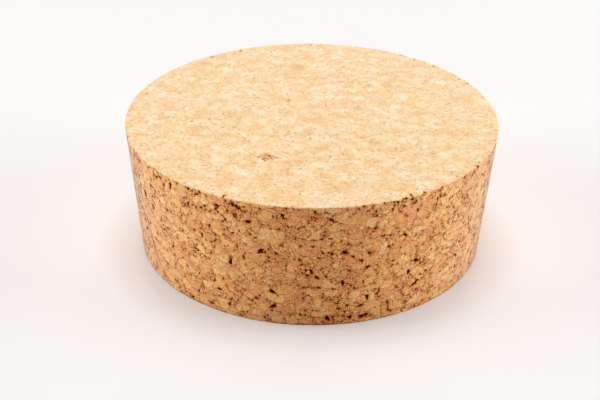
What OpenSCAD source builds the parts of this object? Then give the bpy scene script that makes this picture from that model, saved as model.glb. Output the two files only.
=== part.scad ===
// Tapered stopper of agglomerated cork for a wide-mouthed jar.
// It is one solid, ground to its taper from a pressed block of cork granules.
// Millimetres, +Z up, with the origin in the middle of the narrow lower face.

/* [Body] */
// Diameter across the wide upper face
top_d = 105; // [70:0.5:140]
// Diameter across the narrow lower face
bottom_d = 98; // [65:0.5:135]
// Height from the lower face to the upper face
height = 38; // [20:0.5:70]

/* [Edges] */
// Radius worn on the upper rim
top_edge_r = 0.3; // [0.1:0.05:2]
// Radius worn on the lower rim
bottom_edge_r = 0.5; // [0.1:0.05:2]

/* [Lost granules] */
// Depth of the deepest pits torn in the wall
torn_depth = 0.9; // [0.3:0.05:1.4]
// Depth of an ordinary pit
pit_depth = 0.5; // [0.2:0.05:1]
// Depth of the deepest chips in the upper rim
chip_depth = 0.8; // [0.3:0.05:1.4]
// Number of deep pits torn in the wall
torn_pits = 20; // [0:1:60]
// Number of chips in the upper rim
rim_chips = 16; // [0:1:40]
// Number of ordinary pits in the wall
wall_pits = 72; // [0:1:160]
// Number of ordinary pits in the upper face
top_pits = 16; // [0:1:60]
// Number of ordinary pits in the lower face
bottom_pits = 16; // [0:1:60]
// Seed of the scatter of pits and chips
pit_seed = 7; // [1:1:999]

/* [Hidden] */

top_r = top_d / 2;
bottom_r = bottom_d / 2;
// Angle by which the wall leans out from the vertical
lean = atan2(top_r - bottom_r, height);
wall_normal = [cos(lean), -sin(lean)];

// A lost granule leaves a socket with flat sides, like the corner of a cube
granule = 5;
half_diagonal = granule * sqrt(3) / 2;
// Tilt at which a cube that stands on an edge comes to stand on a corner
corner_tilt = 35.26;
golden_turn = 137.508;
// Pits keep this far from the rims, which have chips of their own
rim_margin = 2;
body_facets = 180;
edge_facets = 48;

// Half of the upright section through the axis, with round corners at both rims
module half_section() {
    top_corner = [top_r - top_edge_r * (1 + sin(lean)) / cos(lean), height - top_edge_r];
    bottom_corner = [bottom_r - bottom_edge_r * (1 - sin(lean)) / cos(lean), bottom_edge_r];
    polygon([
        [0, 0],
        [bottom_corner.x, 0],
        bottom_corner + bottom_edge_r * wall_normal,
        top_corner + top_edge_r * wall_normal,
        [top_corner.x, height],
        [0, height]
    ]);
    translate(bottom_corner) circle(r = bottom_edge_r, $fn = edge_facets);
    translate(top_corner) circle(r = top_edge_r, $fn = edge_facets);
}

// The body before it lost any granule
module turned_body() {
    rotate_extrude($fn = body_facets) half_section();
}

// Cube that leaves a socket of the given depth below the plane z = 0.
// tilt runs from 0, a long socket with a ridge for a floor, to corner_tilt, a three-sided one.
module granule_cutter(depth, tilt, turn) {
    reach = granule / 2 * (sqrt(2) * cos(tilt) + sin(tilt));
    translate([0, 0, reach - depth])
        rotate([0, 0, turn])
            rotate([0, tilt, 0])
                rotate([45, 0, 0])
                    cube(granule, center = true);
}

// Puts a cutter on the wall, its plane z = 0 lying against the wall
module on_wall(angle, share) {
    z = height * share;
    rotate([0, 0, angle])
        translate([bottom_r + z * tan(lean), 0, z])
            rotate([0, 90 + lean, 0])
                children();
}

// Puts a cutter on the upper rim, facing half outwards and half upwards
module on_rim(angle) {
    rotate([0, 0, angle])
        translate([top_r, 0, height])
            rotate([0, 45, 0])
                children();
}

// Chips spaced round the upper rim, each with a random wander
module scattered_rim_chips() {
    wander = rands(-1, 1, 3 * max(rim_chips, 1), pit_seed + 4);
    spacing = 360 / max(rim_chips, 1);
    for (i = [0 : 1 : rim_chips - 1])
        on_rim(spacing * (i + 0.35 * wander[3 * i]))
            granule_cutter(
                chip_depth * (0.75 + 0.25 * wander[3 * i + 1]),
                corner_tilt / 2,
                180 * wander[3 * i + 2]
            );
}

// Pits of the wall up to the given depth, on a spiral with a random wander
module scattered_wall_pits(count, depth, seed) {
    wander = rands(-1, 1, 4 * max(count, 1), seed);
    margin = rim_margin / height;
    for (i = [0 : 1 : count - 1]) {
        share = margin + (1 - 2 * margin) * (i + 0.5) / count;
        on_wall(i * golden_turn + 12 * wander[4 * i], share)
            granule_cutter(
                depth * (0.8 + 0.2 * wander[4 * i + 1]),
                corner_tilt * (0.65 + 0.35 * wander[4 * i + 2]),
                180 * wander[4 * i + 3]
            );
    }
}

// Ordinary pits of a flat face, spread like the seeds of a sunflower inside the given radius
module scattered_face_pits(count, face_r, seed) {
    wander = rands(-1, 1, 3 * max(count, 1), seed);
    for (i = [0 : 1 : count - 1])
        rotate([0, 0, i * golden_turn + 20 * wander[3 * i]])
            translate([(face_r - rim_margin) * sqrt((i + 0.5) / count), 0, 0])
                granule_cutter(
                    pit_depth * (0.7 + 0.2 * wander[3 * i + 1]),
                    corner_tilt / 2,
                    180 * wander[3 * i + 2]
                );
}

module stopper() {
    color("burlywood")
        difference() {
            turned_body();
            scattered_wall_pits(torn_pits, torn_depth, pit_seed + 3);
            scattered_wall_pits(wall_pits, pit_depth, pit_seed);
            scattered_rim_chips();
            translate([0, 0, height])
                scattered_face_pits(top_pits, top_r, pit_seed + 1);
            mirror([0, 0, 1])
                scattered_face_pits(bottom_pits, bottom_r, pit_seed + 2);
        }
}

stopper();
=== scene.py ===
"""Cork stopper for a wide-mouthed jar: its dressed model and the studio it stands in."""

import logging
import math
from dataclasses import dataclass, field
from enum import Enum
from typing import Any, Union

import bpy
import numpy as np
from mathutils import Euler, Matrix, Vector
from mathutils.geometry import delaunay_2d_cdt


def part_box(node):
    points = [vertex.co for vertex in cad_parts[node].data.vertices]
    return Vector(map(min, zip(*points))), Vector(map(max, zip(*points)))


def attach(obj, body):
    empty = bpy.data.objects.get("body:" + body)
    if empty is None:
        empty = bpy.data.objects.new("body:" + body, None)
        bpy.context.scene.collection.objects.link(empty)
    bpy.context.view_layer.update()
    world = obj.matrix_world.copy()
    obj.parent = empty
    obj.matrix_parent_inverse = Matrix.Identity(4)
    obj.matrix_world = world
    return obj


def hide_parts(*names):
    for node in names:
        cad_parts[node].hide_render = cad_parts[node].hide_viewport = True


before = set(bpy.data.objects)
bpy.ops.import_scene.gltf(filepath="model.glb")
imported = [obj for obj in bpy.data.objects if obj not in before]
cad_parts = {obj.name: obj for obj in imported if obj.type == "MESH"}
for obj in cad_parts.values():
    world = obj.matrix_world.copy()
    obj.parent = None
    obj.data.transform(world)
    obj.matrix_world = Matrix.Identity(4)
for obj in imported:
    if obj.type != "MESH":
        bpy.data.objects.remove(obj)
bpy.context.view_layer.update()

MM = 0.001
NODE = "stopper"

# A colour in everyday 0 to 255 values, and the stops of a ramp: place and colour
Tint = tuple[int, int, int]
Stops = tuple[tuple[float, Tint], ...]

# Middle of the star-shaped tear in the top face, in millimetres
TEAR_PLACE = (-12.0, -25.0)

log = logging.getLogger("stopper")


class Cells(Enum):
    """What a texture of cells gives at a place."""

    NEAREST = "F1"
    EDGE = "DISTANCE_TO_EDGE"


# ---------------------------------------------------------------- shader arithmetic


class Value:
    """An output socket that takes part in Python arithmetic."""

    def __init__(self, bench: "Bench", socket: bpy.types.NodeSocket) -> None:
        """Keeps the socket and the bench that can add nodes after it."""
        self.bench = bench
        self.socket = socket

    def math(self, operation: str, *terms: Union["Value", float]) -> "Value":
        """Adds one Math node.

        Args:
            operation: the Math node's operation.
            terms: its inputs, in order.

        Returns:
            The node's result.
        """
        return self.bench.node("ShaderNodeMath", {"operation": operation}, dict(enumerate(terms)))[0]

    def __add__(self, other: Union["Value", float]) -> "Value":
        """self + other"""
        return self.math("ADD", self, other)

    def __radd__(self, other: float) -> "Value":
        """other + self"""
        return self.math("ADD", other, self)

    def __sub__(self, other: Union["Value", float]) -> "Value":
        """self - other"""
        return self.math("SUBTRACT", self, other)

    def __rsub__(self, other: float) -> "Value":
        """other - self"""
        return self.math("SUBTRACT", other, self)

    def __mul__(self, other: Union["Value", float]) -> "Value":
        """self * other"""
        return self.math("MULTIPLY", self, other)

    def __rmul__(self, other: float) -> "Value":
        """other * self"""
        return self.math("MULTIPLY", other, self)

    def __truediv__(self, other: Union["Value", float]) -> "Value":
        """self / other"""
        return self.math("DIVIDE", self, other)

    def least(self, other: Union["Value", float]) -> "Value":
        """The smaller of self and other."""
        return self.math("MINIMUM", self, other)

    def most(self, other: Union["Value", float]) -> "Value":
        """The larger of self and other."""
        return self.math("MAXIMUM", self, other)

    def step(self, low: float, high: float) -> "Value":
        """Rises smoothly from 0 to 1 as self goes from low to high, or falls if high is the lower."""
        settings = {"interpolation_type": "SMOOTHSTEP"}
        inputs = {0: self, 1: low, 2: high, 3: 0.0, 4: 1.0}
        if low > high:
            inputs = {0: self, 1: high, 2: low, 3: 1.0, 4: 0.0}
        return self.bench.node("ShaderNodeMapRange", settings, inputs)[0]


class Made:
    """A node that was added; indexing it gives an output as a Value."""

    def __init__(self, bench: "Bench", node: bpy.types.Node) -> None:
        """Keeps the node and its bench."""
        self.bench = bench
        self.node = node

    def __getitem__(self, key: Union[int, str]) -> Value:
        """The output with that number or name."""
        return Value(self.bench, self.node.outputs[key])


class Bench:
    """Adds nodes to one node tree."""

    def __init__(self, tree: bpy.types.NodeTree) -> None:
        """Starts on a tree."""
        self.tree = tree

    def node(self, kind: str, settings: dict[str, Any] | None = None,
             inputs: dict[Union[int, str], Any] | None = None) -> Made:
        """Adds a node, sets it up and feeds it.

        Args:
            kind: the node's type name.
            settings: its properties, set before anything is linked.
            inputs: values or Values by socket number or name.

        Returns:
            The node, ready to be indexed by output.
        """
        made = self.tree.nodes.new(kind)
        for name, value in (settings or {}).items():
            setattr(made, name, value)
        for key, value in (inputs or {}).items():
            self.feed(made.inputs[key], value)
        return Made(self, made)

    def feed(self, socket: bpy.types.NodeSocket, value: Any) -> None:
        """Links a Value to a socket, or sets the socket to a plain value."""
        if isinstance(value, Value):
            self.tree.links.new(value.socket, socket)
        elif socket.type == "RGBA" and len(value) == 3:
            socket.default_value = (*value, 1.0)
        else:
            socket.default_value = value

    def vector(self, operation: str, *terms: Any) -> Value:
        """Adds one Vector Math node.

        Args:
            operation: the node's operation; SCALE takes a vector and a number.
            terms: its inputs, in order.

        Returns:
            The vector, or the number for DOT_PRODUCT, LENGTH and DISTANCE.
        """
        keys = (0, "Scale") if operation == "SCALE" else range(len(terms))
        made = self.node("ShaderNodeVectorMath", {"operation": operation}, dict(zip(keys, terms)))
        number = operation in ("DOT_PRODUCT", "LENGTH", "DISTANCE")
        return made["Value" if number else "Vector"]

    def mix(self, share: Union[Value, float], first: Any, second: Any) -> Value:
        """Mixes two colours.

        Args:
            share: how much of the second, from 0 to 1.
            first: a colour or a Value.
            second: a colour or a Value.

        Returns:
            The mixed colour.
        """
        return self.node("ShaderNodeMix", {"data_type": "RGBA"}, {0: share, 6: first, 7: second})[2]

    def blend(self, share: Value, first: Value, second: Value) -> Value:
        """Mixes two shaders, by how much of the second there is."""
        return self.node("ShaderNodeMixShader", None, {0: share, 1: first, 2: second})[0]

    def split(self, vector: Value) -> tuple[Value, Value, Value]:
        """The three parts of a vector or colour."""
        made = self.node("ShaderNodeSeparateXYZ", None, {0: vector})
        return made[0], made[1], made[2]

    def join(self, first: Value, second: Value, third: Value) -> Value:
        """The vector with those three parts."""
        return self.node("ShaderNodeCombineXYZ", None, {0: first, 1: second, 2: third})[0]

    def noise(self, place: Value, scale: float, detail: float = 2.0, roughness: float = 0.5) -> Made:
        """Adds a Noise texture at a place, with its features per unit of that place."""
        return self.node("ShaderNodeTexNoise", {"noise_dimensions": "3D"},
                         {"Vector": place, "Scale": scale, "Detail": detail, "Roughness": roughness})

    def cells(self, place: Value, scale: float, feature: Cells) -> Made:
        """Adds a 3-D Voronoi texture at a place."""
        return self.node("ShaderNodeTexVoronoi", {"voronoi_dimensions": "3D", "feature": feature.value},
                         {"Vector": place, "Scale": scale})

    def ramp(self, share: Value, stops: Stops) -> Value:
        """Adds a colour ramp.

        Args:
            share: where to read it, from 0 to 1.
            stops: (place, colour) pairs, with colours in everyday 0 to 255 values.

        Returns:
            The colour.
        """
        made = self.node("ShaderNodeValToRGB", None, {0: share})
        band = made.node.color_ramp
        while len(band.elements) < len(stops):
            band.elements.new(0.5)
        for element, (place, colour) in zip(band.elements, stops):
            element.position = place
            element.color = (*linear(*colour), 1.0)
        return made[0]


def linear(red: int, green: int, blue: int) -> tuple[float, float, float]:
    """Turns a colour in everyday 0 to 255 values into the linear numbers that a shader takes."""
    def channel(level: int) -> float:
        share = level / 255
        return share / 12.92 if share <= 0.04045 else ((share + 0.055) / 1.055) ** 2.4
    return channel(red), channel(green), channel(blue)


# ---------------------------------------------------------------- cork


@dataclass(frozen=True)
class GrainFields:
    """What the grain gives at a place: shares from 0 to 1, and lengths in millimetres."""

    place: Value
    tints: tuple[Value, Value, Value]
    crumb_tint: Value
    seam: Value
    gap: Value
    lump: Value
    flat: Value
    # Painted shade: darkens the wall's bottom edge, where the stopper meets the floor
    foot_shade: Value


@dataclass(frozen=True)
class Grain:
    """Granules pressed into a block, as fields over the solid; its lengths are in millimetres."""

    granule: float = 3.2
    crumb: float = 1.3
    press: float = 1.25
    slow_bend: float = 2.6
    fast_bend: float = 1.0
    gap_width: float = 0.34
    dot_width: float = 0.12
    face_gap: float = 0.26
    height: float = 38.0
    rim_fray: float = 0.4
    pore_spacing: float = 1.9
    pore_radius: float = 0.3

    def swirl(self, bench: Bench, place: Value, scale: float, reach: float) -> Value:
        """A push of up to about that reach, which changes over 1 / scale."""
        push = bench.noise(place, scale, 1.0)["Color"]
        return bench.vector("SCALE", bench.vector("SUBTRACT", push, (0.5, 0.5, 0.5)), reach)

    def lay(self, bench: Bench, position: Value) -> GrainFields:
        """Adds the grain's nodes.

        Args:
            bench: the bench of a material or of a geometry tree.
            position: the place in the stopper, in metres.

        Returns:
            The fields.
        """
        place = bench.vector("MULTIPLY", position, (1 / MM, 1 / MM, self.press / MM))
        fast = self.swirl(bench, place, 1.0, self.fast_bend)
        stirred = bench.vector("ADD", place, fast)
        bent = bench.vector("ADD", stirred, self.swirl(bench, place, 0.28, self.slow_bend))
        tints = bench.split(bench.cells(bent, 1 / self.granule, Cells.NEAREST)["Color"])
        crumb_tint = bench.split(bench.cells(bent, 1 / self.crumb, Cells.NEAREST)["Color"])[0]
        crumbly = tints[2].step(0.6, 0.65)
        seam = bench.cells(bent, 1 / self.granule, Cells.EDGE)["Distance"] * self.granule
        crumb_seam = bench.cells(bent, 1 / self.crumb, Cells.EDGE)["Distance"] * self.crumb
        seam = seam.least(crumb_seam + (1.0 - crumbly) * 9.0)
        upright = bench.vector("MULTIPLY", place, (1.0, 1.0, 0.65))
        porous = bench.noise(place, 0.33, 1.0)[0].step(0.3, 0.6)
        dash = bench.noise(upright, 1.5, 1.0)[0].step(0.55, 0.7)
        dots = bench.noise(upright, 3.0, 1.0)[0].step(0.55, 0.7)
        gap = (porous * dash * self.gap_width).most(dots * self.dot_width) - seam
        pores = bench.cells(stirred, 1 / self.pore_spacing, Cells.NEAREST)
        size = bench.split(pores["Color"])[0].step(0.7, 1.0)
        hole = size * self.pore_radius - pores["Distance"] * self.pore_spacing
        rise = bench.split(position)[2] / MM + (crumb_tint - 0.5) * self.rim_fray
        flat = rise.step(self.height - 0.45, self.height - 0.15).most(rise.step(0.25, 0.05))
        # Painted shade along the wall's bottom edge, standing in for the contact shadow where the stopper
        # meets the floor
        foot_shade = rise.step(0.9, 0.25) * (1.0 - flat)
        gap = gap.most(hole) - flat * self.face_gap
        lump = 1.0 - (crumb_tint + tints[0]) * seam.step(0.0, 0.5) * 0.5
        return GrainFields(place, tints, crumb_tint, seam, gap, lump, flat, foot_shade)


@dataclass(frozen=True)
class CorkFinish:
    """Agglomerated cork, ground flat, as a solid that the surface cuts through."""

    grain: Grain = Grain()
    sheen: float = 1.0
    sheen_rough: float = 0.42
    sheen_tint: Tint = (255, 255, 255)
    gloss: float = 0.15
    rough: float = 0.85
    grit: float = 0.05
    # The faces' tints are paler and less saturated than the wall's: partly the sanded faces' own colour,
    # partly painted light, the washed-out brightly lit top against the warmer shaded wall
    wall_tints: Stops = (
        (0.0, (235, 149, 74)), (0.15, (240, 163, 90)), (0.4, (245, 178, 109)),
        (0.6, (248, 187, 120)), (0.8, (250, 197, 133)), (1.0, (251, 207, 149)),
    )
    face_tints: Stops = (
        (0.0, (248, 188, 120)), (0.2, (250, 197, 136)), (0.5, (252, 209, 159)),
        (0.8, (253, 219, 179)), (1.0, (254, 227, 195)),
    )
    wall_grey: Tint = (226, 168, 114)
    wall_pink: Tint = (229, 139, 82)
    wall_ochre: Tint = (243, 177, 94)
    wall_halo: Tint = (222, 132, 60)
    wall_seam: Tint = (174, 74, 4)
    face_pink: Tint = (250, 199, 152)
    face_ochre: Tint = (247, 206, 128)
    face_seam: Tint = (216, 138, 66)
    face_fleck: Tint = (222, 146, 72)
    face_stain: Tint = (238, 166, 92)
    # Torn places: partly the dark bark of real pits, partly painted shade that deepens with their depth
    wall_hollows: Stops = (
        (0.0, (186, 84, 12)), (0.3, (138, 48, 0)), (1.0, (68, 10, 0)),
    )
    face_hollows: Stops = (
        (0.0, (222, 140, 66)), (0.6, (196, 112, 46)), (1.0, (138, 66, 18)),
    )
    tear_reach: float = 3.4
    tear_depth: float = 1.3
    stain_count: int = 4
    stain_span: float = 36.0
    stain_seed: int = 5

    def stains(self) -> list[tuple[float, float, float, float]]:
        """The darker spots of the top face: place, reach and strength, with the first round the tear."""
        draw = np.random.default_rng(self.stain_seed)
        spots = [(*TEAR_PLACE, self.tear_reach, self.tear_depth)]
        for _ in range(self.stain_count):
            x, y = draw.uniform(-self.stain_span, self.stain_span, 2)
            reach = draw.uniform(2.0, 3.6)
            depth = draw.uniform(1.0, 1.5)
            spots.append((float(x), float(y), float(reach), float(depth)))
        return spots

    def build(self) -> bpy.types.Material:
        """Makes the material: a lit skin, and a plain dark finish where the surface is torn and along the
        wall's bottom edge. In torn places the dark is partly the cork's own dark bark and partly painted
        shade; along the bottom edge it is painted shade, where the stopper meets the floor.

        Returns:
            The material, for the stopper's mesh.
        """
        material = bpy.data.materials.new("agglomerated_cork")
        material.use_nodes = True
        bench = Bench(material.node_tree)
        skin = material.node_tree.nodes["Principled BSDF"]
        position = bench.node("ShaderNodeTexCoord")["Object"]
        fields = self.grain.lay(bench, position)
        wisp = self.wisp(bench, fields)
        bench.feed(skin.inputs["Base Color"], self.skin_colour(bench, fields, wisp))
        bench.feed(skin.inputs["Roughness"], self.rough - wisp * 0.3)
        rise = wisp * (1.0 - fields.flat * 0.6) * self.grit
        bump = bench.node("ShaderNodeBump", None, {"Distance": MM, "Height": rise})
        bench.feed(skin.inputs["Normal"], bump[0])
        skin.inputs["Sheen Weight"].default_value = self.sheen
        skin.inputs["Sheen Roughness"].default_value = self.sheen_rough
        skin.inputs["Sheen Tint"].default_value = (*linear(*self.sheen_tint), 1.0)
        skin.inputs["Specular IOR Level"].default_value = self.gloss
        torn = bench.node("ShaderNodeAttribute", {"attribute_name": "hollow"})["Fac"]
        depth = fields.gap.step(-0.05, 0.2).most(torn)
        # Along the wall's bottom edge the dark finish is painted shade, for the contact shadow on the floor
        colour = self.hollow_colour_and_shade(bench, fields, depth.most(fields.foot_shade * 0.4))
        # The torn finish has no sheen, so pits stay dark: partly their own dark bark, partly painted shade
        inner = {"Base Color": colour, "Roughness": 0.95, "Specular IOR Level": 0.0}
        hollow = bench.node("ShaderNodeBsdfPrincipled", None, inner)
        share = depth.step(0.0, 0.3) * (1.0 - fields.flat * (1.0 - depth) * 0.5)
        share = share.most(fields.foot_shade * 0.85)
        whole = bench.blend(share, Value(bench, skin.outputs[0]), hollow[0])
        bench.feed(material.node_tree.nodes["Material Output"].inputs["Surface"], whole)
        return material

    def wisp(self, bench: Bench, fields: GrainFields) -> Value:
        """Fine streaks that run their own way in each granule, with finer grit over them, about zero."""
        first, second, third = fields.tints
        heading = bench.vector("SUBTRACT", bench.join(first, second, third), (0.5, 0.5, 0.5))
        along = bench.vector("NORMALIZE", heading)
        reach = bench.vector("DOT_PRODUCT", fields.place, along) * 0.8
        drawn = bench.vector("SUBTRACT", fields.place, bench.vector("SCALE", along, reach))
        fibre = bench.noise(drawn, 2.2, 1.0, 0.6)[0]
        grit = bench.noise(fields.place, 3.6, 1.0, 0.6)[0]
        return (fibre - 0.5) * 1.0 + (grit - 0.5) * 1.2

    def skin_colour(self, bench: Bench, fields: GrainFields, wisp: Value) -> Value:
        """Adds the nodes of the granules' colour.

        Args:
            bench: the material's bench.
            fields: the grain.
            wisp: the fine streaks.

        Returns:
            The colour.
        """
        flat = fields.flat
        first, second, third = fields.tints
        soft = bench.noise(fields.place, 0.8, 1.0)[0] - 0.5
        core = fields.seam.step(0.0, 0.6) * 0.5 + 0.5
        crumb = (fields.crumb_tint - 0.5) * (0.4 - flat * 0.25)
        pick = ((first - 0.5) * 0.6 + crumb) * core + soft * 0.7 + 0.5
        wall = bench.ramp(pick, self.wall_tints)
        patch = bench.noise(fields.place, 0.28, 1.0)[0] - 0.5
        pick = (first - 0.5) * core * 0.55 + patch * 2.0 + 0.5
        face = bench.ramp(pick, self.face_tints)
        pink = second.step(0.6, 0.95) * 0.55
        ochre = second.step(0.35, 0.05) * 0.56
        grey = second.step(0.4, 0.45) * second.step(0.58, 0.53) * 0.5
        wall = bench.mix(grey, wall, linear(*self.wall_grey))
        wall = bench.mix(pink, wall, linear(*self.wall_pink))
        wall = bench.mix(ochre, wall, linear(*self.wall_ochre))
        face = bench.mix(pink * 0.6, face, linear(*self.face_pink))
        face = bench.mix(ochre * 0.5, face, linear(*self.face_ochre))
        wall = bench.mix(fields.gap.step(-0.35, 0.0) * 0.4, wall, linear(*self.wall_halo))
        broken = bench.noise(fields.place, 1.3, 2.0)[0]
        line = fields.seam.step(0.14, 0.0) * (broken.step(0.5, 0.6) * 0.6 + 0.12)
        wall = bench.mix(line, wall, linear(*self.wall_seam))
        line = fields.seam.step(0.4, 0.0) * (broken.step(0.48, 0.6) * 0.42)
        face = bench.mix(line, face, linear(*self.face_seam))
        fleck = bench.noise(fields.place, 0.9, 1.0)[0].step(0.62, 0.72) * 0.7
        face = bench.mix(fleck, face, linear(*self.face_fleck))
        for x, y, reach, depth in self.stains():
            away = bench.vector("DISTANCE", fields.place, (x, y, self.grain.height * self.grain.press))
            stain = away.step(reach, reach * 0.3) * (broken * depth).least(1.0)
            face = bench.mix(stain, face, linear(*self.face_stain))
        # Faces paler than the wall: partly their own colour, partly painted light of the bright top and the
        # shaded wall
        body = bench.mix(flat, wall, face)
        red = wisp * (0.8 - flat * 0.6) + 1.0
        green = wisp * (1.35 - flat * 1.05) + 1.0
        blue = wisp * (2.4 - flat * 2.0) + 1.0
        return bench.vector("MULTIPLY", body, bench.join(red, green, blue))

    def hollow_colour_and_shade(self, bench: Bench, fields: GrainFields, depth: Value) -> Value:
        """The colour of torn places: partly the cork's own dark bark, partly painted shade that grows darker
        the deeper they are, and paler on the ground faces.
        """
        wall = bench.ramp(depth, self.wall_hollows)
        face = bench.ramp(depth, self.face_hollows)
        return bench.mix(fields.flat, wall, face)


# ---------------------------------------------------------------- the stopper's skin


class Survey:
    """Reads one of the grain's fields at many places at once, through a geometry tree."""

    def __init__(self, grain: Grain, name: str) -> None:
        """Makes the tree for the field of that name."""
        self.tree = bpy.data.node_groups.new("survey_" + name, "GeometryNodeTree")
        self.tree.interface.new_socket("Geometry", in_out="INPUT", socket_type="NodeSocketGeometry")
        self.tree.interface.new_socket("Geometry", in_out="OUTPUT", socket_type="NodeSocketGeometry")
        bench = Bench(self.tree)
        fields = grain.lay(bench, bench.node("GeometryNodeInputPosition")[0])
        inputs = {"Geometry": bench.node("NodeGroupInput")[0], "Name": "survey"}
        inputs["Value"] = getattr(fields, name)
        stored = bench.node("GeometryNodeStoreNamedAttribute", {"data_type": "FLOAT"}, inputs)[0]
        bench.node("NodeGroupOutput", None, {0: stored})

    def read(self, places: np.ndarray) -> np.ndarray:
        """Gives the field at places.

        Args:
            places: one row of x, y, z in millimetres for each place.

        Returns:
            One number for each place.
        """
        mesh = bpy.data.meshes.new("survey")
        mesh.vertices.add(len(places))
        mesh.vertices.foreach_set("co", (places * MM).astype(np.float32).ravel())
        holder = bpy.data.objects.new("survey", mesh)
        bpy.context.scene.collection.objects.link(holder)
        holder.modifiers.new("survey", "NODES").node_group = self.tree
        seen = holder.evaluated_get(bpy.context.evaluated_depsgraph_get()).data
        found = np.zeros(len(places), np.float32)
        seen.attributes["survey"].data.foreach_get("value", found)
        bpy.data.objects.remove(holder)
        bpy.data.meshes.remove(mesh)
        return found


@dataclass(frozen=True)
class Hollow:
    """One torn-out place on a patch's map: its place, half length, half width and turn in degrees."""

    x: float
    y: float
    length: float
    width: float
    turn: float
    strength: float = 1.0

    def field(self, x: np.ndarray, y: np.ndarray) -> np.ndarray:
        """How far inside its ragged outline each place is.

        Args:
            x: places on the map.
            y: places on the map.

        Returns:
            Millimetres, with less than zero outside.
        """
        angle = math.radians(self.turn)
        along = ((x - self.x) * math.cos(angle) + (y - self.y) * math.sin(angle)) / self.length
        across = ((y - self.y) * math.cos(angle) - (x - self.x) * math.sin(angle)) / self.width
        bearing = np.arctan2(across, along)
        seed = self.x * 1.7 + self.y * 2.3
        ragged = 1.0 + 0.2 * np.sin(3 * bearing + seed) + 0.13 * np.sin(5 * bearing + seed * 2.1)
        return (ragged - np.hypot(along, across)) * self.width * self.strength


@dataclass(frozen=True)
class Scatter:
    """A rule that strews torn places at random over a span of angle or millimetres and of height."""

    count: int
    across: tuple[float, float]
    up: tuple[float, float]
    length: tuple[float, float]
    width: tuple[float, float]
    strength: tuple[float, float]
    seed: int

    def strew(self) -> list[tuple[float, ...]]:
        """Gives the place, half length, half width, turn and strength of each torn place."""
        draw = np.random.default_rng(self.seed)
        spans = (self.across, self.up, self.length, self.width, (0.0, 180.0), self.strength)
        return [tuple(float(draw.uniform(*span)) for span in spans) for _ in range(self.count)]


@dataclass(frozen=True)
class Star:
    """Short strokes that run out from one torn place on the top face."""

    place: tuple[float, float]
    count: int = 12
    seed: int = 8

    def strew(self) -> list[tuple[float, ...]]:
        """Gives the place, half length, half width, turn and strength of each stroke."""
        draw = np.random.default_rng(self.seed)
        strokes = []
        for k in range(self.count):
            bearing = 360.0 * k / self.count + draw.uniform(-15.0, 15.0)
            away = draw.uniform(0.7, 2.6)
            x = self.place[0] + away * math.cos(math.radians(bearing))
            y = self.place[1] + away * math.sin(math.radians(bearing))
            turn = bearing + draw.uniform(-30.0, 30.0)
            size = (draw.uniform(0.5, 1.1), draw.uniform(0.2, 0.3))
            strokes.append((x, y, *size, turn, draw.uniform(1.4, 2.0)))
        return strokes


@dataclass(frozen=True)
class Profile:
    """The turned outline in millimetres, from a ring in the bottom face to one in the top face."""

    height: float
    bottom_radius: float
    top_radius: float
    bottom_edge: float = 0.5
    top_edge: float = 0.3
    margin: float = 2.5
    ease: float = 2.2

    def corner(self, before: np.ndarray, middle: np.ndarray, after: np.ndarray, radius: float) -> np.ndarray:
        """Five points of a rounded corner, from tangent to tangent.

        Args:
            before: a point on the line that comes in.
            middle: the sharp corner.
            after: a point on the line that goes out.
            radius: the rounding.

        Returns:
            Rows of radius and height.
        """
        into = (before - middle) / np.linalg.norm(before - middle)
        out = (after - middle) / np.linalg.norm(after - middle)
        half = math.acos(float(into @ out)) / 2
        centre = middle + (into + out) / np.linalg.norm(into + out) * radius / math.sin(half)
        start = middle + into * radius / math.tan(half) - centre
        end = middle + out * radius / math.tan(half) - centre
        share = np.linspace(0, 1, 5)[:, None]
        arc = start * (1 - share) + end * share
        return centre + arc / np.linalg.norm(arc, axis=1)[:, None] * radius

    def trace(self) -> tuple[np.ndarray, np.ndarray]:
        """The outline's points as radius and height, and how far along it each one is."""
        bottom = np.array([self.bottom_radius, 0.0])
        top = np.array([self.top_radius, self.height])
        inner_bottom = bottom - (self.margin, 0.0)
        inner_top = top - (self.margin, 0.0)
        low = self.corner(inner_bottom, bottom, top, self.bottom_edge)
        high = self.corner(bottom, top, inner_top, self.top_edge)
        line = np.vstack([inner_bottom, low, high, inner_top])
        along = np.concatenate([[0.0], np.cumsum(np.linalg.norm(np.diff(line, axis=0), axis=1))])
        return line, along


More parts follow.
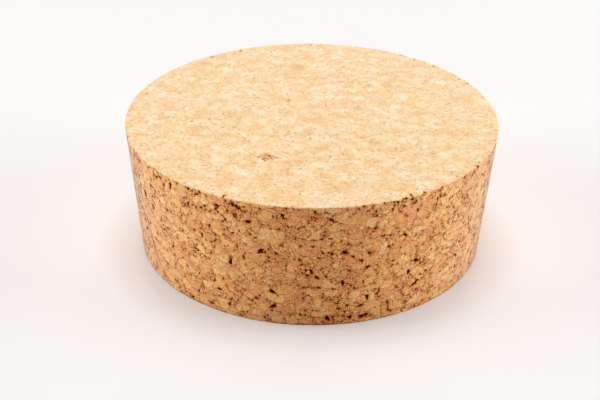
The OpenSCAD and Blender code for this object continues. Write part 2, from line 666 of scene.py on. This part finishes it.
@dataclass
class Patch:
    """A flat map of part of the surface, in millimetres, that is cut into triangles and lifted onto it."""

    survey: Survey
    width: float
    height: float
    corner: tuple[float, float]
    hollows: list[Hollow]
    seed: int
    step: float = 0.14
    spacing: float = 0.95
    levels: tuple[float, ...] = (0.02, -0.08, 0.12, 0.3)
    depths: tuple[tuple[float, float], ...] = (
        (-0.08, 0.0), (0.02, 0.05), (0.12, 0.25), (0.3, 0.5), (0.6, 0.85),
    )
    least_gap: float = 0.13
    border_gap: float = 0.3
    contour_gap: float = 0.17
    deep_gap: float = 0.28
    row_gap: float = 0.2
    fine_reach: float = 0.42
    row_reach: float = 0.3
    row_share: float = 0.866
    jitter: float = 0.2

    def border(self) -> np.ndarray:
        """The map's outline points, which it shares with its neighbours."""
        raise NotImplementedError

    def rows(self) -> np.ndarray:
        """Points that its edges need."""
        return np.zeros((0, 2))

    def inside(self, places: np.ndarray, inset: float) -> np.ndarray:
        """Which places on the map are inside its outline by at least inset."""
        raise NotImplementedError

    def lift(self, places: np.ndarray) -> tuple[np.ndarray, np.ndarray]:
        """The surface's points and the directions in which it is dented, for places on the map."""
        raise NotImplementedError

    def grid(self) -> tuple[np.ndarray, np.ndarray, np.ndarray]:
        """Reads how far the surface is inside a gap or hollow, on a fine grid.

        Returns:
            The grid's x, its y, and the field with one row for each y.
        """
        x = np.arange(0.0, self.width + self.step, self.step)
        y = np.arange(0.0, self.height + self.step, self.step)
        across, up = np.meshgrid(x, y)
        places = np.stack([across.ravel(), up.ravel()], axis=1)
        places = np.minimum(places, (self.width, self.height))
        kept = self.inside(places, 0.45)
        field = np.full(len(places), -1.0, np.float32)
        field[kept] = self.survey.read(self.lift(places[kept])[0])
        field = field.reshape(across.shape)
        for hollow in self.hollows:
            reach = hollow.length * 1.6
            columns = slice(*np.searchsorted(x, (hollow.x - reach, hollow.x + reach)))
            lines = slice(*np.searchsorted(y, (hollow.y - reach, hollow.y + reach)))
            dent = hollow.field(across[lines, columns], up[lines, columns])
            field[lines, columns] = np.maximum(field[lines, columns], dent)
        field[~kept.reshape(field.shape)] = -1.0
        return x, y, self.gate(field)

    def gate(self, field: np.ndarray) -> np.ndarray:
        """Fades out the gaps that are too fine for the mesh.

        Args:
            field: how far each grid point is inside a gap.

        Returns:
            The field with those gaps closed.
        """
        most = field
        for axis in (0, 1):
            most = np.max([np.roll(most, shift, axis) for shift in (-2, -1, 0, 1, 2)], axis=0)
        share = np.clip((most - self.least_gap * 0.6) / (self.least_gap * 0.4), 0, 1)
        return field * share - 0.3 * (1 - share)

    def outlines(self, x: np.ndarray, y: np.ndarray, field: np.ndarray, level: float) -> np.ndarray:
        """Where the field passes a level, on the grid's lines.

        Args:
            x: the grid's columns.
            y: the grid's rows.
            field: the field.
            level: the level.

        Returns:
            Places on the map.
        """
        above = field > level
        i, j = np.nonzero(above[:, 1:] != above[:, :-1])
        share = (level - field[i, j]) / (field[i, j + 1] - field[i, j])
        flat = np.stack([x[j] + share * self.step, y[i], i * 1.0, j * 1.0], axis=1)
        i, j = np.nonzero(above[1:] != above[:-1])
        share = (level - field[i, j]) / (field[i + 1, j] - field[i, j])
        steep = np.stack([x[j], y[i] + share * self.step, i * 1.0, j * 1.0], axis=1)
        both = np.vstack([flat, steep])
        return both[np.lexsort((both[:, 3], both[:, 2]))][:, :2]

    def scatter(self, x: np.ndarray, y: np.ndarray, field: np.ndarray) -> np.ndarray:
        """Chooses the mesh's points on the map.

        Args:
            x: the grid's columns.
            y: the grid's rows.
            field: how far each grid point is inside a gap.

        Returns:
            The border's points first, then the others.
        """
        border = self.border()
        sieve = Sieve(self.width, self.height)
        sieve.add(border, self.border_gap, self.border_gap)
        kept = [border]
        for level in self.levels:
            kept.append(sieve.sift(self.outlines(x, y, field, level), self.contour_gap, self.fine_reach))
        up, across = np.nonzero(field > self.levels[-1])
        deep = np.stack([x[across], y[up]], axis=1)
        kept.append(sieve.sift(deep, self.deep_gap, self.fine_reach))
        kept.append(sieve.sift(self.rows(), self.row_gap, self.row_reach))
        draw = np.random.default_rng(self.seed)
        lines = np.arange(0, self.height, self.spacing * self.row_share)
        columns = np.arange(0, self.width, self.spacing)
        across, up = np.meshgrid(columns, lines)
        across[1::2] += self.spacing / 2
        loose = np.stack([across.ravel(), up.ravel()], axis=1)
        loose += draw.uniform(-self.jitter, self.jitter, loose.shape) * self.spacing
        loose = loose[self.inside(loose, self.border_gap)]
        kept.append(sieve.sift(loose, None, 0.0))
        return np.vstack(kept)

    def cut(self) -> "Cut":
        """Cuts the map into triangles and lifts it.

        Returns:
            The piece of skin.
        """
        x, y, field = self.grid()
        flat = self.scatter(x, y, field)
        triangles = np.array(delaunay_2d_cdt([Vector(place) for place in flat], [], [], 0, 1e-7)[2])
        a, b, c = (flat[triangles[:, k]] for k in range(3))
        area = (b[:, 0] - a[:, 0]) * (c[:, 1] - a[:, 1]) - (b[:, 1] - a[:, 1]) * (c[:, 0] - a[:, 0])
        triangles = triangles[np.abs(area) > 1e-6]
        area = area[np.abs(area) > 1e-6]
        triangles[area < 0] = triangles[area < 0][:, ::-1]
        inside = self.sample(x, y, field, flat)
        depth = np.interp(inside, [level for level, _ in self.depths], [down for _, down in self.depths])
        depth[:len(self.border())] = 0.0
        places, outward = self.lift(flat)
        return Cut(flat + self.corner, places, outward, depth, triangles)

    def sample(self, x: np.ndarray, y: np.ndarray, field: np.ndarray, places: np.ndarray) -> np.ndarray:
        """Reads the grid between its points.

        Args:
            x: the grid's columns.
            y: the grid's rows.
            field: what to read.
            places: places on the map.

        Returns:
            One number for each place.
        """
        across = np.clip(places[:, 0] / self.step, 0, len(x) - 1.001)
        up = np.clip(places[:, 1] / self.step, 0, len(y) - 1.001)
        j, i = across.astype(int), up.astype(int)
        s, t = across - j, up - i
        low = field[i, j] * (1 - s) + field[i, j + 1] * s
        high = field[i + 1, j] * (1 - s) + field[i + 1, j + 1] * s
        return low * (1 - t) + high * t


@dataclass
class Cut:
    """A piece of skin: its places on the sheet, its points, outward directions, dents and triangles."""

    sheet: np.ndarray
    places: np.ndarray
    outward: np.ndarray
    depth: np.ndarray
    triangles: np.ndarray


class Sieve:
    """Keeps points apart on a map."""

    STEP = 0.06

    def __init__(self, width: float, height: float) -> None:
        """Starts with an empty map."""
        self.discs: dict[int, np.ndarray] = {}
        shape = (int(height / self.STEP) + 40, int(width / self.STEP) + 40)
        self.close = np.zeros(shape, bool)
        self.wide = np.zeros(shape, bool)

    def stamp(self, taken: np.ndarray, i: int, j: int, reach: float) -> None:
        """Marks a disc as taken."""
        r = int(round(reach / self.STEP))
        if r not in self.discs:
            span = np.arange(-r, r + 1)
            self.discs[r] = span[:, None] ** 2 + span[None, :] ** 2 <= r * r
        part = taken[i - r:i + r + 1, j - r:j + r + 1]
        np.logical_or(part, self.discs[r], out=part)

    def add(self, points: np.ndarray, close: float, wide: float) -> None:
        """Takes points as they are, with the distances that others keep from them."""
        for x, y in points:
            i, j = int(y / self.STEP) + 10, int(x / self.STEP) + 10
            self.stamp(self.close, i, j, close)
            self.stamp(self.wide, i, j, wide)

    def sift(self, points: np.ndarray, close: float | None, wide: float) -> np.ndarray:
        """Keeps the points that are far enough from those already taken.

        Args:
            points: the candidates, in order.
            close: how far they stay from each other and from fine points, or nothing for loose points.
            wide: how far loose points stay from them.

        Returns:
            The points that were kept.
        """
        kept = []
        for x, y in points:
            i, j = int(y / self.STEP) + 10, int(x / self.STEP) + 10
            if (self.wide if close is None else self.close)[i, j]:
                continue
            kept.append((x, y))
            if close is not None:
                self.stamp(self.close, i, j, close)
                self.stamp(self.wide, i, j, wide)
        return np.array(kept).reshape(-1, 2)


@dataclass
class Wall(Patch):
    """Half of the turned wall, with both edges and a margin of each flat face."""

    profile: Profile = None
    start: float = 0.0
    columns: int = 192
    edge_gap: float = 0.5

    @classmethod
    def half(cls, survey: Survey, profile: Profile, start: float, dents: list[tuple[float, ...]],
             corner: tuple[float, float], seed: int) -> "Wall":
        """Makes the half that begins at an angle.

        Args:
            survey: the grain.
            profile: the turned outline.
            start: the angle in degrees where the half begins.
            dents: angle, height, half length, half width, turn and, for some, strength of each hollow.
            corner: its place on the sheet.
            seed: for its loose points.

        Returns:
            The patch.
        """
        line, along = profile.trace()
        middle = (profile.bottom_radius + profile.top_radius) / 2
        hollows = []
        for angle, height, *shape in dents:
            x = math.radians((angle - start) % 360) * middle
            if x < math.pi * middle:
                rise = (line[5, 1], line[6, 1], profile.height, profile.height + profile.margin)
                reach = (along[5], along[6], along[8], along[8] + profile.margin)
                y = float(np.interp(height, rise, reach))
                hollows.append(Hollow(x, y, *shape))
        width, height = math.pi * middle, float(along[-1])
        return cls(survey, width, height, corner, hollows, seed, profile=profile, start=start)

    def border(self) -> np.ndarray:
        """The two columns where the halves meet, and the two inner rings."""
        _, along = self.profile.trace()
        stops = [np.linspace(along[0], along[1], 4), along[3:4], np.linspace(along[5], along[6], 46),
                 along[8:9], np.linspace(along[10], along[11], 4)]
        up = np.concatenate(stops)
        across = np.arange(self.columns + 1) * self.width / self.columns
        ends = [np.stack([np.full(len(up), x), up], axis=1) for x in (0.0, self.width)]
        rings = [np.stack([across, np.full(len(across), y)], axis=1)[1:-1] for y in (0.0, self.height)]
        return np.vstack(ends + rings)

    def rows(self) -> np.ndarray:
        """Rows along both rounded edges, so that they stay crisp."""
        _, along = self.profile.trace()
        across = np.arange(self.edge_gap, self.width - self.edge_gap / 2, self.edge_gap)
        rows = [np.full(len(across), along[k]) for k in (1, 3, 5, 6, 8, 10)]
        return np.vstack([np.stack([across, row], axis=1) for row in rows])

    def inside(self, places: np.ndarray, inset: float) -> np.ndarray:
        """Which places are inside the strip by at least inset."""
        edge = np.minimum(places, (self.width, self.height) - places).min(axis=1)
        return edge >= inset

    def lift(self, places: np.ndarray) -> tuple[np.ndarray, np.ndarray]:
        """Wraps the strip round the profile."""
        line, along = self.profile.trace()
        middle = (self.profile.bottom_radius + self.profile.top_radius) / 2
        angle = math.radians(self.start) + places[:, 0] / middle
        radius = np.interp(places[:, 1], along, line[:, 0])
        rise = np.interp(places[:, 1], along, line[:, 1])
        ease = self.profile.ease
        lean = -math.atan2(line[6, 0] - line[5, 0], line[6, 1] - line[5, 1])
        stops = (along[3] - ease, along[3] + ease, along[8] - ease, along[8] + ease)
        tilt = np.interp(places[:, 1], stops, (-math.pi / 2, lean, lean, math.pi / 2))
        places = np.stack([radius * np.cos(angle), radius * np.sin(angle), rise], axis=1)
        outward = np.stack([np.cos(tilt) * np.cos(angle), np.cos(tilt) * np.sin(angle), np.sin(tilt)], axis=1)
        return places, outward


@dataclass
class Face(Patch):
    """One flat face inside its margin."""

    radius: float = 0.0
    rise: float = 0.0
    upward: float = 1.0
    columns: int = 384

    @classmethod
    def disc(cls, survey: Survey, radius: float, rise: float, upward: float, dents: list[tuple[float, ...]],
             corner: tuple[float, float], seed: int) -> "Face":
        """Makes a face.

        Args:
            survey: the grain.
            radius: the radius of its ring.
            rise: its height.
            upward: 1 if it faces up, and -1 if it faces down.
            dents: x, y, half length, half width, turn and strength of each hollow.
            corner: its place on the sheet.
            seed: for its loose points.

        Returns:
            The patch.
        """
        hollows = [Hollow(x + radius, y + radius, *rest) for x, y, *rest in dents]
        return cls(survey, 2 * radius, 2 * radius, corner, hollows, seed, step=0.18,
                   radius=radius, rise=rise, upward=upward)

    def border(self) -> np.ndarray:
        """The ring that it shares with the wall."""
        angle = np.arange(self.columns) * 2 * math.pi / self.columns
        return np.stack([np.cos(angle), np.sin(angle)], axis=1) * self.radius + self.radius

    def inside(self, places: np.ndarray, inset: float) -> np.ndarray:
        """Which places are inside the ring by at least inset."""
        return np.linalg.norm(places - self.radius, axis=1) <= self.radius - inset

    def lift(self, places: np.ndarray) -> tuple[np.ndarray, np.ndarray]:
        """Lays the map flat at its height."""
        level = np.full((len(places), 1), self.rise)
        outward = np.zeros((len(places), 3))
        outward[:, 2] = self.upward
        return np.hstack([places - self.radius, level]), outward


@dataclass
class Stopper:
    """The stopper: one body of pressed granules, turned to a lean wall, with its hollows and chipped rim."""

    low: Vector
    high: Vector
    top_radius: float = 52.5
    bottom_radius: float = 49.0
    relief: float = 0.06
    crease: float = 38.0
    sheet: float = 196.0
    grain: Grain = field(default_factory=Grain)
    finish: CorkFinish = field(default_factory=CorkFinish)
    wall_tears: tuple[Scatter, ...] = (
        Scatter(22, (-135.0, -55.0), (2.0, 36.0), (0.5, 1.4), (0.3, 0.6), (1.0, 1.2), 21),
        Scatter(28, (-55.0, 225.0), (2.0, 36.0), (0.5, 1.2), (0.3, 0.6), (1.0, 1.2), 22),
    )
    rim_tears: tuple[Scatter, ...] = (
        Scatter(14, (-145.0, -110.0), (33.0, 39.0), (0.4, 1.2), (0.2, 0.4), (1.5, 2.5), 23),
        Scatter(4, (-110.0, -70.0), (37.5, 38.5), (0.4, 0.6), (0.2, 0.3), (1.0, 1.5), 24),
        Scatter(16, (-70.0, -30.0), (34.0, 39.5), (0.4, 1.1), (0.2, 0.4), (1.5, 2.5), 25),
        Scatter(34, (-30.0, 215.0), (35.0, 39.5), (0.4, 1.0), (0.2, 0.4), (1.5, 2.5), 26),
    )
    top_tears: tuple[Scatter | Star, ...] = (
        Star(TEAR_PLACE),
        Scatter(16, (-35.0, 35.0), (-35.0, 35.0), (0.3, 0.7), (0.2, 0.3), (0.8, 1.5), 27),
    )

    def patches(self) -> list[Patch]:
        """The two halves of the wall, the top face and the bottom face."""
        survey = Survey(self.grain, "gap")
        height = (self.high.z - self.low.z) / MM
        profile = Profile(height, self.bottom_radius, self.top_radius)
        dents = [dent for tears in self.wall_tears + self.rim_tears for dent in tears.strew()]
        top_dents = [dent for tears in self.top_tears for dent in tears.strew()]
        top = self.top_radius - profile.margin
        bottom = self.bottom_radius - profile.margin
        return [
            Wall.half(survey, profile, -180.0, dents, (1.0, 1.0), 11),
            Wall.half(survey, profile, 0.0, dents, (1.0, 46.0), 12),
            Face.disc(survey, top, height, 1.0, top_dents, (1.0, 91.0), 13),
            Face.disc(survey, bottom, 0.0, -1.0, [], (102.0, 91.0), 14),
        ]

    def build(self) -> bpy.types.Object:
        """Makes the mesh and dresses it.

        Returns:
            The stopper.
        """
        patches = self.patches()
        cuts = [patch.cut() for patch in patches]
        triangles, count = [], 0
        for patch, cut in zip(patches, cuts):
            flip = isinstance(patch, Face) and patch.upward < 0
            triangles.append((cut.triangles[:, ::-1] if flip else cut.triangles) + count)
            count += len(cut.places)
        triangles = np.vstack(triangles)
        places = np.vstack([cut.places for cut in cuts])
        keys = np.round(places * 1e3 + 0.137).astype(np.int64)
        _, first, merged = np.unique(keys, axis=0, return_index=True, return_inverse=True)
        merged = merged.ravel()
        outward = np.vstack([cut.outward for cut in cuts])[first]
        depth = np.concatenate([cut.depth for cut in cuts])[first]
        places = places[first]
        lump = Survey(self.grain, "lump").read(places)
        shaped = places - outward * (lump * self.relief + depth)[:, None]
        mesh = bpy.data.meshes.new("stopper_body")
        corners = merged[triangles]
        mesh.from_pydata((shaped * MM).tolist(), [], corners.tolist())
        hollow = mesh.attributes.new("hollow", "FLOAT", "POINT")
        hollow.data.foreach_set("value", np.clip(depth / 0.3, 0, 1).astype(np.float32))
        sheet = mesh.uv_layers.new(name="OFBake")
        flat = np.vstack([cut.sheet for cut in cuts])[triangles].reshape(-1, 2) / self.sheet
        sheet.uv.foreach_set("vector", flat.astype(np.float32).ravel())
        mesh.shade_smooth()
        mesh.set_sharp_from_angle(angle=math.radians(self.crease))
        mesh.materials.append(self.finish.build())
        piece = bpy.data.objects.new("stopper_body", mesh)
        bpy.context.scene.collection.objects.link(piece)
        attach(piece, "root")
        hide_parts(NODE)
        return piece


# ---------------------------------------------------------------- studio


@dataclass
class Softbox:
    """One rectangular lamp with a soft face."""

    name: str
    place: tuple[float, float, float]
    aim: tuple[float, float, float]
    size: tuple[float, float]
    power: float
    tint: tuple[float, float, float] = (1.0, 1.0, 1.0)

    def build(self) -> bpy.types.Object:
        """Adds the lamp to the scene."""
        data = bpy.data.lights.new(self.name, "AREA")
        data.shape = "RECTANGLE"
        data.size, data.size_y = self.size
        data.energy = self.power
        data.color = self.tint
        lamp = bpy.data.objects.new(self.name, data)
        lamp.location = self.place
        lamp.rotation_euler = (Vector(self.aim) - Vector(self.place)).to_track_quat("-Z", "Y").to_euler()
        bpy.context.scene.collection.objects.link(lamp)
        return lamp


@dataclass
class Studio:
    """Floor, world, lamps and camera."""

    floor_size: float = 6.0
    floor_colour: tuple[float, float, float] = linear(244, 246, 249)
    bounce_colour: tuple[float, float, float] = linear(246, 240, 238)
    # The glow near the stopper is pinkish against a slightly cool paper, so its shadow on the paper reads
    # warm: painted bounce light from the cork
    glow_colour: tuple[float, float, float] = linear(255, 239, 239)
    sky_colour: tuple[float, float, float] = linear(248, 245, 244)
    glow: float = 0.335
    glow_near: float = 0.27
    glow_far: float = 0.6
    lamps: tuple[Softbox, ...] = (
        Softbox("top_softbox", (0.0, 0.1, 1.2), (0.0, 0.0, 0.0), (0.5, 0.5), 6.8),
        Softbox("back_softbox", (0.0, 0.7, 1.0), (0.0, 0.0, 0.0), (0.8, 0.8), 3.2),
        Softbox("left_softbox", (-0.9, 0.0, 0.25), (0.0, 0.0, 0.02), (0.6, 0.5), 7.3, (0.9, 1.0, 0.86)),
        Softbox("right_softbox", (0.9, 0.0, 0.25), (0.0, 0.0, 0.02), (0.6, 0.5), 6.8, (0.9, 1.0, 0.86)),
        Softbox("right_back_softbox", (0.75, 0.6, 0.25), (0.0, 0.0, 0.02), (0.6, 0.5), 0.9),
        Softbox("front_softbox", (0.0, -0.9, 0.7), (0.0, 0.0, 0.02), (0.6, 0.5), 1.3, (1.0, 0.87, 0.95)),
    )

    def build(self) -> None:
        """Builds the floor, the sky and the lamps."""
        mesh = bpy.data.meshes.new("floor")
        half = self.floor_size / 2
        corners = [(-half, -half, 0), (half, -half, 0), (half, half, 0), (-half, half, 0)]
        mesh.from_pydata(corners, [], [(0, 1, 2, 3)])
        floor = bpy.data.objects.new("floor", mesh)
        bpy.context.scene.collection.objects.link(floor)
        mesh.materials.append(self.paper())
        world = bpy.data.worlds.new("studio_air")
        bpy.context.scene.world = world
        world.use_nodes = True
        bench = Bench(world.node_tree)
        background = world.node_tree.nodes["Background"]
        seen = bench.node("ShaderNodeLightPath")["Is Camera Ray"]
        bench.feed(background.inputs["Color"], self.sky_colour)
        bench.feed(background.inputs["Strength"], seen)
        for lamp in self.lamps:
            lamp.build()

    def paper(self) -> bpy.types.Material:
        """Makes the floor's material: white paper that glows for the camera, more the further out it lies.

        Returns:
            The material.
        """
        material = bpy.data.materials.new("white_paper")
        material.use_nodes = True
        bench = Bench(material.node_tree)
        paper = material.node_tree.nodes["Principled BSDF"]
        seen = bench.node("ShaderNodeLightPath")["Is Camera Ray"]
        bench.feed(paper.inputs["Base Color"], bench.mix(seen, self.bounce_colour, self.floor_colour))
        paper.inputs["Roughness"].default_value = 1.0
        paper.inputs["Specular IOR Level"].default_value = 0.0
        place = bench.node("ShaderNodeTexCoord")["Object"]
        far = bench.vector("LENGTH", place).step(self.glow_near, self.glow_far)
        colour = bench.mix(far, self.glow_colour, self.sky_colour)
        light = bench.node("ShaderNodeEmission", None, {"Color": colour})
        share = seen * (far * (1.0 - self.glow) + self.glow)
        whole = bench.blend(share, Value(bench, paper.outputs[0]), light[0])
        bench.feed(material.node_tree.nodes["Material Output"].inputs["Surface"], whole)
        return material


@dataclass
class Camera:
    """The camera, placed by what it aims at."""

    aim: tuple[float, float, float] = (-3.0 * MM, -14.4 * MM, 19.0 * MM)
    distance: float = 413.8 * MM
    azimuth: float = 0.47
    elevation: float = 29.16
    roll: float = 0.56
    lens: float = 88.7

    def build(self) -> bpy.types.Object:
        """Makes it the scene's camera.

        Returns:
            The camera.
        """
        data = bpy.data.cameras.new("camera")
        data.lens = self.lens
        data.sensor_width = 36.0
        data.clip_start = 0.01
        camera = bpy.data.objects.new("camera", data)
        turn = Euler((math.radians(90 - self.elevation), 0.0, math.radians(self.azimuth))).to_matrix()
        back = turn @ Vector((0.0, 0.0, 1.0))
        camera.location = Vector(self.aim) + back * self.distance
        camera.rotation_euler = (turn @ Euler((0.0, 0.0, math.radians(self.roll))).to_matrix()).to_euler()
        bpy.context.scene.collection.objects.link(camera)
        bpy.context.scene.camera = camera
        return camera


def main() -> None:
    """Builds the studio and the stopper and logs the stopper's vertex count."""
    logging.basicConfig(level=logging.INFO, format="%(name)s: %(message)s")
    bpy.context.scene.view_settings.view_transform = "Standard"
    Camera().build()
    Studio().build()
    low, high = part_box(NODE)
    piece = Stopper(low, high).build()
    log.info("%s: %d vertices", piece.name, len(piece.data.vertices))


if __name__ == "__main__":
    main()
